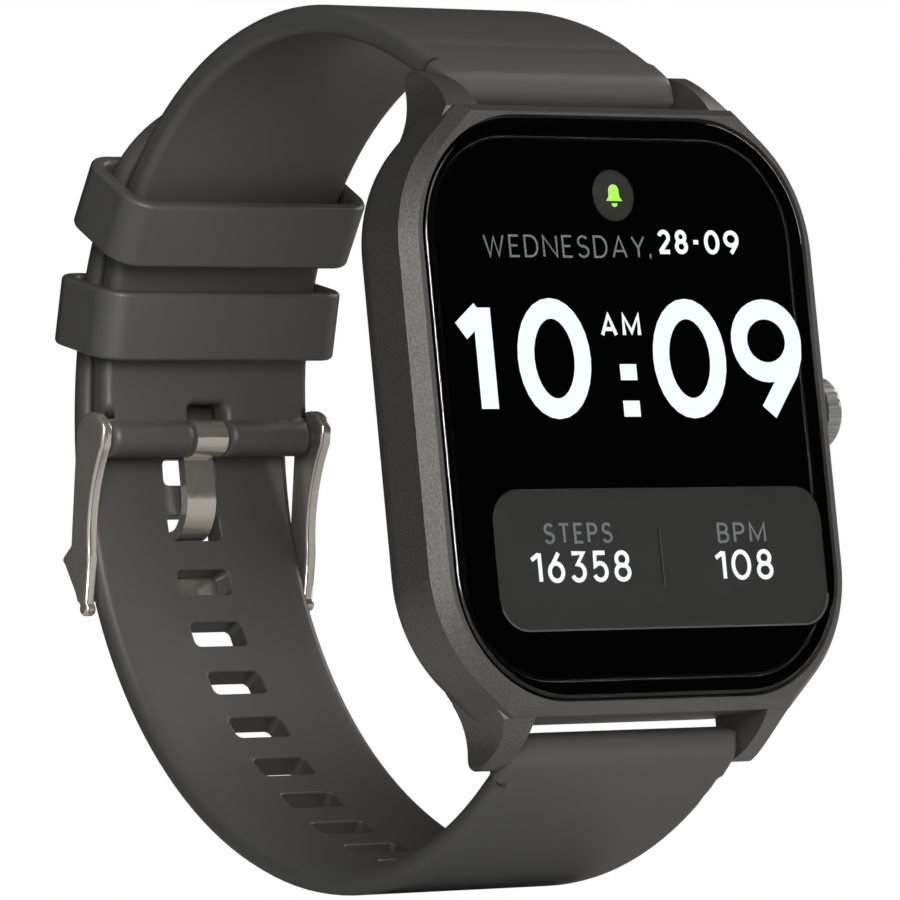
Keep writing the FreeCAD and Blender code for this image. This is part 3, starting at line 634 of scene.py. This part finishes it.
def joined(parts):
    """Several bmeshes as one."""
    whole = bmesh.new()
    for part in parts:
        mesh = bpy.data.meshes.new("part")
        part.to_mesh(mesh)
        part.free()
        whole.from_mesh(mesh)
        bpy.data.meshes.remove(mesh)
    return whole


def make_buckle_frame(material):
    half = (PLATE_OUT - PLATE_IN) / 2
    outline = plate_outline()
    parts = []
    for side in (-1, 1):
        def place(s, x, h):
            return Vector((side * (PLATE_IN + half + h), FRONT + s, x))
        parts.append(rounded_slab(outline, [], [], place, lambda s: (half, -half), PLATE_EDGE, PLATE_EDGE))
    inner = LOOP_R + TAIL_T + CROSS_GAP
    near = arc_points(*loop_centre(), inner, CROSS_FROM, CROSS_FROM + CROSS_TURN, 12)
    far = arc_points(*loop_centre(), inner + CROSS_T, CROSS_FROM + CROSS_TURN, CROSS_FROM, 12)
    ends = (-PLATE_IN - half, PLATE_IN + half)
    parts.append(sweep([[(x, y, z) for y, z in near + far] for x in ends], False))
    piece = new_object("buckle_frame_skin", joined(parts), material, "buckle")
    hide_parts("buckle_frame")
    weigh_normals(piece)


def round_nodes():
    """Small roundings on the sharp edges of nodes that are shown as they are."""
    for node, width in ROUNDINGS.items():
        piece = frame["nodes"][node]
        bevel = piece.modifiers.new("edges", "BEVEL")
        bevel.width = width * MM
        bevel.segments = ROUNDING_SEGMENTS
        bevel.limit_method = "ANGLE"
        bevel.angle_limit = math.radians(SHARP_ANGLE)
        weigh_normals(piece)


# ---------------------------------------------------------------- screen
def oval(cx, cz, rx, rz, start=0, end=360, steps=28):
    """Points on an oval, with angles in degrees."""
    return [(cx + rx * (x - cx), cz + rz * (z - cz)) for x, z in arc_points(cx, cz, 1, start, end, steps)]


# each character: its width for a height of 1, and its lines in a unit square
CHARACTERS = {
    "0": (0.76, [oval(0.5, 0.5, 0.5, 0.5)]),
    "1": (0.44, [[(0, 0.78), (0.9, 0.98)], [(1, 1.02), (1, -0.02)]]),
    "2": (0.62, [oval(0.5, 0.72, 0.5, 0.28, 165, -35) + [(0, 0)], [(-0.05, 0), (1.05, 0)]]),
    "3": (0.62, [[(0.05, 1), (0.95, 1), (0.45, 0.6)] + oval(0.47, 0.3, 0.5, 0.3, 90, -155)]),
    "5": (0.62, [[(0.92, 1), (0.14, 1), (0.08, 0.52)] + oval(0.47, 0.31, 0.5, 0.31, 130, -155)]),
    "6": (0.64, [oval(0.5, 0.32, 0.5, 0.32), [(0.74, 1.02), (0.3, 0.64), (0.07, 0.48)]]),
    "8": (0.64, [oval(0.5, 0.76, 0.42, 0.24), oval(0.5, 0.27, 0.5, 0.27)]),
    "9": (0.76, [oval(0.5, 0.68, 0.5, 0.32), [(1, 0.66), (0.98, 0.52), (0.9, 0.38), (0.44, -0.04)]]),
    "-": (0.40, [[(0, 0.5), (1, 0.5)]]),
    ",": (0.02, [[(0.5, 0.18), (0.5, -0.05)]]),
    "A": (0.72, [[(0, 0), (0.5, 1), (1, 0)], [(0.2, 0.3), (0.8, 0.3)]]),
    "B": (0.55, [[(0, 0), (0, 1)] + oval(0.5, 0.76, 0.42, 0.24, 90, -90, 12) + [(0, 0.52)],
                 [(0.4, 0.52)] + oval(0.5, 0.26, 0.5, 0.26, 90, -90, 12) + [(0, 0)]]),
    "D": (0.66, [[(0, 0), (0, 1)] + oval(0.42, 0.5, 0.58, 0.5, 90, -90, 16) + [(0, 0)]]),
    "E": (0.50, [[(1, 1), (0, 1), (0, 0), (1, 0)], [(0, 0.52), (0.85, 0.52)]]),
    "M": (0.78, [[(0, 0), (0, 1), (0.5, 0.15), (1, 1), (1, 0)]]),
    "N": (0.70, [[(0, 0), (0, 1), (1, 0), (1, 1)]]),
    "P": (0.55, [[(0, 0), (0, 1)] + oval(0.5, 0.74, 0.48, 0.26, 90, -90, 12) + [(0, 0.48)]]),
    "S": (0.56, [oval(0.5, 0.755, 0.46, 0.245, 30, 270, 20) + oval(0.5, 0.255, 0.5, 0.255, 90, -155, 20)]),
    "T": (0.60, [[(0, 1), (1, 1)], [(0.5, 1), (0.5, 0)]]),
    "W": (0.98, [[(0, 1), (0.27, 0), (0.5, 0.92), (0.73, 0), (1, 1)]]),
    "Y": (0.66, [[(0, 1), (0.5, 0.45), (1, 1)], [(0.5, 0.45), (0.5, 0)]]),
}
CHARACTER_GAP = 0.22


def stroke(bm, points, thick):
    """A flat band along a line, with square ends."""
    closed = (Vector(points[0]) - Vector(points[-1])).length < 1e-6
    line = [Vector(p) for p in (points[:-1] if closed else points)]
    rings = []
    for i, here in enumerate(line):
        before = here - line[i - 1] if closed or i else line[1] - here
        after = line[(i + 1) % len(line)] - here if closed or i < len(line) - 1 else before
        n1 = Vector((-before.y, before.x)).normalized()
        n2 = Vector((-after.y, after.x)).normalized()
        mean = (n1 + n2).normalized()
        off = mean * thick / 2 / max(mean.dot(n1), 0.6)
        corners = ((here + off, SCREEN_NEAR), (here - off, SCREEN_NEAR),
                   (here - off, SCREEN_FAR), (here + off, SCREEN_FAR))
        rings.append([bm.verts.new((p.x, FRONT + d, p.y)) for p, d in corners])
    pairs = list(zip(rings, rings[1:])) + ([(rings[-1], rings[0])] if closed else [])
    for a, b in pairs:
        for i in range(4):
            bm.faces.new((a[i - 1], a[i], b[i], b[i - 1]))
    if not closed:
        bm.faces.new(rings[0])
        bm.faces.new(rings[-1])


def write(bm, text, left, right, bottom, top, thick):
    """Writes characters so that they fill a box."""
    high = top - bottom
    widths = [CHARACTERS[c][0] for c in text]
    unit = (right - left) / (sum(widths) + CHARACTER_GAP * (len(text) - 1))
    x = left
    for character, width in zip(text, widths):
        wide = width * unit
        for line in CHARACTERS[character][1]:
            points = []
            for u, v in line:
                px = x + thick / 2 + u * (wide - thick)
                points.append((px, bottom + thick / 2 + v * (high - thick)))
            stroke(bm, points, thick)
        x += wide + CHARACTER_GAP * unit


def written(rows):
    """Several rows of writing in one mesh."""
    bm = bmesh.new()
    for row in rows:
        write(bm, *row)
    return bm


def plate(bm, outline, near, far):
    """A flat shape in the screen."""
    rings = [[bm.verts.new((x, FRONT + d, z)) for x, z in outline] for d in (near, far)]
    bm.faces.new(rings[0])
    bm.faces.new(rings[1])
    for i in range(len(outline)):
        bm.faces.new((rings[0][i - 1], rings[0][i], rings[1][i], rings[1][i - 1]))


def glow(name, colour, strength):
    """A lit part of the screen."""
    made = surface(name, (0.004, 0.004, 0.004), 0.5, grain_size=1.0, variation=0.1)
    shader = made.node_tree.nodes["Principled BSDF"]
    shader.inputs["Emission Color"].default_value = (*colour, 1)
    shader.inputs["Emission Strength"].default_value = strength
    return made


def screen_piece(name, bm, colour, strength=1.0):
    new_object(name, bm, glow(name, colour, strength), smooth=False)


def box_outline(x0, x1, z0, z1, corner):
    return rounded_rectangle((x0 + x1) / 2, (z0 + z1) / 2, (x1 - x0) / 2, (z1 - z0) / 2, [corner] * 4, 10)


def make_screen():
    """A clock face: time, weekday and date, two counters, and a bell."""
    time = written(TIME_ROWS)
    for low in DOT_BOTTOMS:
        high = low + DOT_HIGH
        dot = [(DOT_LEFT, low), (DOT_RIGHT, low), (DOT_RIGHT, high), (DOT_LEFT, high)]
        plate(time, dot, SCREEN_NEAR, SCREEN_FAR)
    screen_piece("screen_time", time, (0.86, 1.0, 0.97), 1.12)
    screen_piece("screen_figures", written(FIGURE_ROWS), (0.95, 0.97, 0.97), 1.05)
    screen_piece("screen_labels", written(LABEL_ROWS), (0.16, 0.17, 0.17))
    panel = bmesh.new()
    x0, x1, z0, z1 = PANEL_BOX
    plate(panel, box_outline(x0, x1, z0, z1 - PANEL_DROP, PANEL_ROUND), PANEL_NEAR, PANEL_FAR)
    disc = arc_points(BELL_X - 0.05, BELL_Z, BELL_PANEL_R, 0, 360, 48)[:-1]
    plate(panel, disc, PANEL_NEAR, PANEL_FAR)
    screen_piece("screen_panel", panel, (0.0085, 0.0085, 0.0085))
    rim = bmesh.new()
    lower = arc_points(x0 + PANEL_ROUND, z0 + PANEL_ROUND, PANEL_ROUND, 200, 270, 12)
    lower += arc_points(x1 - PANEL_ROUND, z0 + PANEL_ROUND, PANEL_ROUND, 270, 355, 12)
    stroke(rim, lower, RIM_THICK)
    stroke(rim, HAIRLINE_ENDS, HAIRLINE)
    screen_piece("screen_rim", rim, (0.07, 0.07, 0.07))
    dark = bmesh.new()
    stroke(dark, DIVIDER_ENDS, RIM_THICK)
    screen_piece("screen_divider", dark, (0.0, 0.0, 0.0))
    bell = bmesh.new()
    dome = arc_points(BELL_X, BELL_Z + 0.35, DOME_R, 0, 180, 14)
    flare = [(BELL_X - 0.5, BELL_Z - 0.1), (BELL_X - 0.76, BELL_Z - 0.42)]
    outline = dome + flare + [(2 * BELL_X - x, z) for x, z in reversed(flare)]
    plate(bell, outline, SCREEN_NEAR, SCREEN_FAR)
    clapper = arc_points(BELL_X, BELL_Z - 0.6, CLAPPER_R, 180, 360, 10)
    plate(bell, clapper, SCREEN_NEAR, SCREEN_FAR)
    screen_piece("screen_bell", bell, (0.43, 1.0, 0.09), 1.1)


# ---------------------------------------------------------------- materials
def material(name):
    made = bpy.data.materials.new(name)
    made.use_nodes = True
    return made, made.node_tree.nodes, made.node_tree.links


def surface(name, colour, rough, metallic=0.0, grain=0.0, grain_size=0.1, variation=0.0,
            rough_spread=0.0, specular=0.5, stretch=(1, 1, 1)):
    """A principled surface with fine grain in its bump, colour and roughness.

    grain_size is in millimetres.
    """
    made, nodes, links = material(name)
    shader = nodes["Principled BSDF"]
    shader.inputs["Metallic"].default_value = metallic
    shader.inputs["Specular IOR Level"].default_value = specular
    place = nodes.new("ShaderNodeTexCoord")
    scale = nodes.new("ShaderNodeMapping")
    scale.inputs["Scale"].default_value = [v / (grain_size * MM) for v in stretch]
    links.new(place.outputs["Object"], scale.inputs["Vector"])
    noise = nodes.new("ShaderNodeTexNoise")
    noise.inputs["Scale"].default_value = 1.0
    noise.inputs["Detail"].default_value = GRAIN_DETAIL
    links.new(scale.outputs["Vector"], noise.inputs["Vector"])
    ramp = nodes.new("ShaderNodeValToRGB")
    ramp.color_ramp.elements[0].position = GRAIN_LOW
    ramp.color_ramp.elements[1].position = GRAIN_HIGH
    ramp.color_ramp.elements[0].color = [c * (1 - variation) for c in colour] + [1]
    ramp.color_ramp.elements[1].color = [min(c * (1 + variation), 1) for c in colour] + [1]
    links.new(noise.outputs["Fac"], ramp.inputs["Fac"])
    links.new(ramp.outputs["Color"], shader.inputs["Base Color"])
    spread = nodes.new("ShaderNodeMapRange")
    spread.inputs["From Min"].default_value = GRAIN_LOW
    spread.inputs["From Max"].default_value = GRAIN_HIGH
    spread.inputs["To Min"].default_value = max(rough - rough_spread, SMOOTHEST)
    spread.inputs["To Max"].default_value = rough + rough_spread
    links.new(noise.outputs["Fac"], spread.inputs["Value"])
    links.new(spread.outputs["Result"], shader.inputs["Roughness"])
    bump = nodes.new("ShaderNodeBump")
    bump.inputs["Strength"].default_value = grain
    bump.inputs["Distance"].default_value = grain_size * MM * GRAIN_DEPTH
    links.new(noise.outputs["Fac"], bump.inputs["Height"])
    links.new(bump.outputs["Normal"], shader.inputs["Normal"])
    return made


def strap_rubber():
    """Satin silicone: almost smooth, with a faint moulded texture."""
    return surface("strap_rubber", (0.046, 0.0455, 0.0445), 0.42, grain=0.12, grain_size=0.12,
                   variation=0.05, rough_spread=0.03, specular=0.3)


def case_metal():
    """Dark graphite metal with a fine blasted grain that sparkles where light rakes it."""
    return surface("case_metal", (0.098, 0.096, 0.092), 0.42, metallic=0.75, grain=0.55, grain_size=0.11,
                   variation=0.35, rough_spread=0.1)


def glass_black():
    """Clear glass of the screen and of the sensor window."""
    made = surface("glass_clear", (0.97, 0.97, 0.97), 0.03, grain_size=4.0, variation=0.01, rough_spread=0.01)
    shader = made.node_tree.nodes["Principled BSDF"]
    shader.inputs["Transmission Weight"].default_value = 1.0
    shader.inputs["IOR"].default_value = 1.45
    return made


def slot_materials():
    """One material for each slot of the record."""
    return {
        "case_metal": case_metal(),
        "glass_black": glass_black(),
        "display": surface("display", (0.004, 0.004, 0.005), 0.3, grain_size=1.0, variation=0.1),
        "flex": surface("flex", (0.35, 0.17, 0.05), 0.4, grain=0.1, grain_size=0.3, variation=0.15),
        "inner_plastic": surface("inner_plastic", (0.02, 0.02, 0.022), 0.5, grain=0.3, grain_size=0.2,
                                 variation=0.2),
        "battery_foil": surface("battery_foil", (0.55, 0.56, 0.58), 0.3, metallic=1.0, grain=0.3,
                                grain_size=1.2, variation=0.08),
        "board": surface("board", (0.02, 0.12, 0.05), 0.4, grain=0.2, grain_size=0.4, variation=0.3),
        "chip": surface("chip", (0.03, 0.03, 0.03), 0.5, grain=0.2, grain_size=0.2, variation=0.2),
        "steel": surface("steel", (0.6, 0.6, 0.6), 0.25, metallic=1.0, grain=0.1, grain_size=0.2,
                         variation=0.08, rough_spread=0.06),
        "seal_rubber": surface("seal_rubber", (0.012, 0.012, 0.012), 0.6, grain=0.2, grain_size=0.2,
                               variation=0.2),
        "back_plastic": surface("back_plastic", (0.03, 0.03, 0.031), 0.38, grain=0.35, grain_size=0.14,
                                variation=0.2, rough_spread=0.05),
        "gold": surface("gold", (0.83, 0.6, 0.25), 0.2, metallic=1.0, grain=0.1, grain_size=0.2,
                        variation=0.08),
        "crown_metal": surface("crown_metal", (0.25, 0.257, 0.25), 0.34, metallic=0.8, grain=0.25,
                               grain_size=0.1, variation=0.12, rough_spread=0.05, stretch=(0.1, 1, 1)),
        "strap_rubber": strap_rubber(),
        "polished_steel": surface("polished_steel", (0.50, 0.47, 0.43), 0.16, metallic=0.82, grain=0.04,
                                  grain_size=0.5, variation=0.03, rough_spread=0.03),
    }


def paint_nodes(made):
    """Every CAD node takes the material of its slot."""
    for part in frame["record"]["subparts"]:
        node = frame["nodes"][part["node"]]
        node.data.materials.clear()
        node.data.materials.append(made[part["material_slot"]])


# ---------------------------------------------------------------- stage
def view_axes():
    """Directions of the camera: ahead, right and up."""
    turn, rise, roll = [math.radians(v) for v in (CAMERA_TURN, CAMERA_RISE, CAMERA_ROLL)]
    ahead = Vector((math.sin(turn) * math.cos(rise), math.cos(turn) * math.cos(rise), -math.sin(rise)))
    level = Vector((math.cos(turn), -math.sin(turn), 0))
    up = level.cross(ahead)
    right = level * math.cos(roll) + up * math.sin(roll)
    return ahead, right, up * math.cos(roll) - level * math.sin(roll)


def make_camera():
    ahead, right, up = view_axes()
    data = bpy.data.cameras.new("camera")
    data.lens = LENS
    data.sensor_width = SENSOR
    data.clip_start = NEAREST
    data.clip_end = FARTHEST
    camera = bpy.data.objects.new("camera", data)
    basis = Matrix((right, up, -ahead)).transposed().to_4x4()
    basis.translation = AIM - ahead * CAMERA_DISTANCE * MM
    camera.matrix_world = basis
    bpy.context.scene.collection.objects.link(camera)
    bpy.context.scene.camera = camera


def soft_light(name, direction, distance, size, power, colour):
    """A rectangular softbox that faces the watch from a direction."""
    data = bpy.data.lights.new(name, "AREA")
    data.shape = "RECTANGLE"
    data.size = size[0]
    data.size_y = size[1]
    data.energy = power
    data.color = colour
    light = bpy.data.objects.new(name, data)
    towards = Vector(direction).normalized()
    light.location = AIM + towards * distance
    light.rotation_mode = "QUATERNION"
    light.rotation_quaternion = towards.to_track_quat("Z", "Y")
    bpy.context.scene.collection.objects.link(light)


def make_lights():
    for light in LIGHTS:
        soft_light(*light)


def make_floor():
    """A plain pale floor under the watch, clear from below so that a low camera looks past it."""
    bm = bmesh.new()
    low = cad_box[0][2] - FLOOR_DROP * MM
    corners = ((-1, -1), (1, -1), (1, 1), (-1, 1))
    bm.faces.new([bm.verts.new((x * FLOOR_HALF, y * FLOOR_HALF, low)) for x, y in corners])
    mesh = bpy.data.meshes.new("floor")
    bm.to_mesh(mesh)
    bm.free()
    made = surface("floor", (0.92, 0.92, 0.92), 0.6, grain_size=2.0, variation=0.005)
    nodes, links = made.node_tree.nodes, made.node_tree.links
    facing = nodes.new("ShaderNodeNewGeometry")
    clear = nodes.new("ShaderNodeBsdfTransparent")
    mix = nodes.new("ShaderNodeMixShader")
    links.new(facing.outputs["Backfacing"], mix.inputs["Fac"])
    links.new(nodes["Principled BSDF"].outputs["BSDF"], mix.inputs[1])
    links.new(clear.outputs["BSDF"], mix.inputs[2])
    links.new(mix.outputs["Shader"], nodes["Material Output"].inputs["Surface"])
    mesh.materials.append(made)
    floor = bpy.data.objects.new("floor", mesh)
    bpy.context.scene.collection.objects.link(floor)


def make_world():
    """White to the eye, and a dim even light on the watch."""
    world = bpy.data.worlds.new("studio")
    bpy.context.scene.world = world
    world.use_nodes = True
    nodes, links = world.node_tree.nodes, world.node_tree.links
    seen = nodes.new("ShaderNodeLightPath")
    dim = nodes["Background"]
    dim.inputs["Color"].default_value = (*WORLD_COLOUR, 1)
    dim.inputs["Strength"].default_value = WORLD_LIGHT
    white = nodes.new("ShaderNodeBackground")
    white.inputs["Strength"].default_value = 1.0
    white.inputs["Color"].default_value = (1, 1, 1, 1)
    mix = nodes.new("ShaderNodeMixShader")
    links.new(seen.outputs["Is Camera Ray"], mix.inputs["Fac"])
    links.new(dim.outputs["Background"], mix.inputs[1])
    links.new(white.outputs["Background"], mix.inputs[2])
    links.new(mix.outputs["Shader"], nodes["World Output"].inputs["Surface"])


def set_tones():
    """Plain display of the light, so that white stays white."""
    bpy.context.scene.view_settings.view_transform = "Standard"
    bpy.context.scene.view_settings.look = "None"


# ---------------------------------------------------------------- the whole
def main():
    made = slot_materials()
    paint_nodes(made)
    make_buckle_strap(made["strap_rubber"])
    make_holed_strap(made["strap_rubber"])
    for node, (body, degrees) in KEEPERS.items():
        make_keeper(node, body, degrees, made["strap_rubber"])
    make_buckle_frame(made["polished_steel"])
    make_screen()
    round_nodes()
    make_camera()
    make_floor()
    make_lights()
    make_world()
    set_tones()


main()
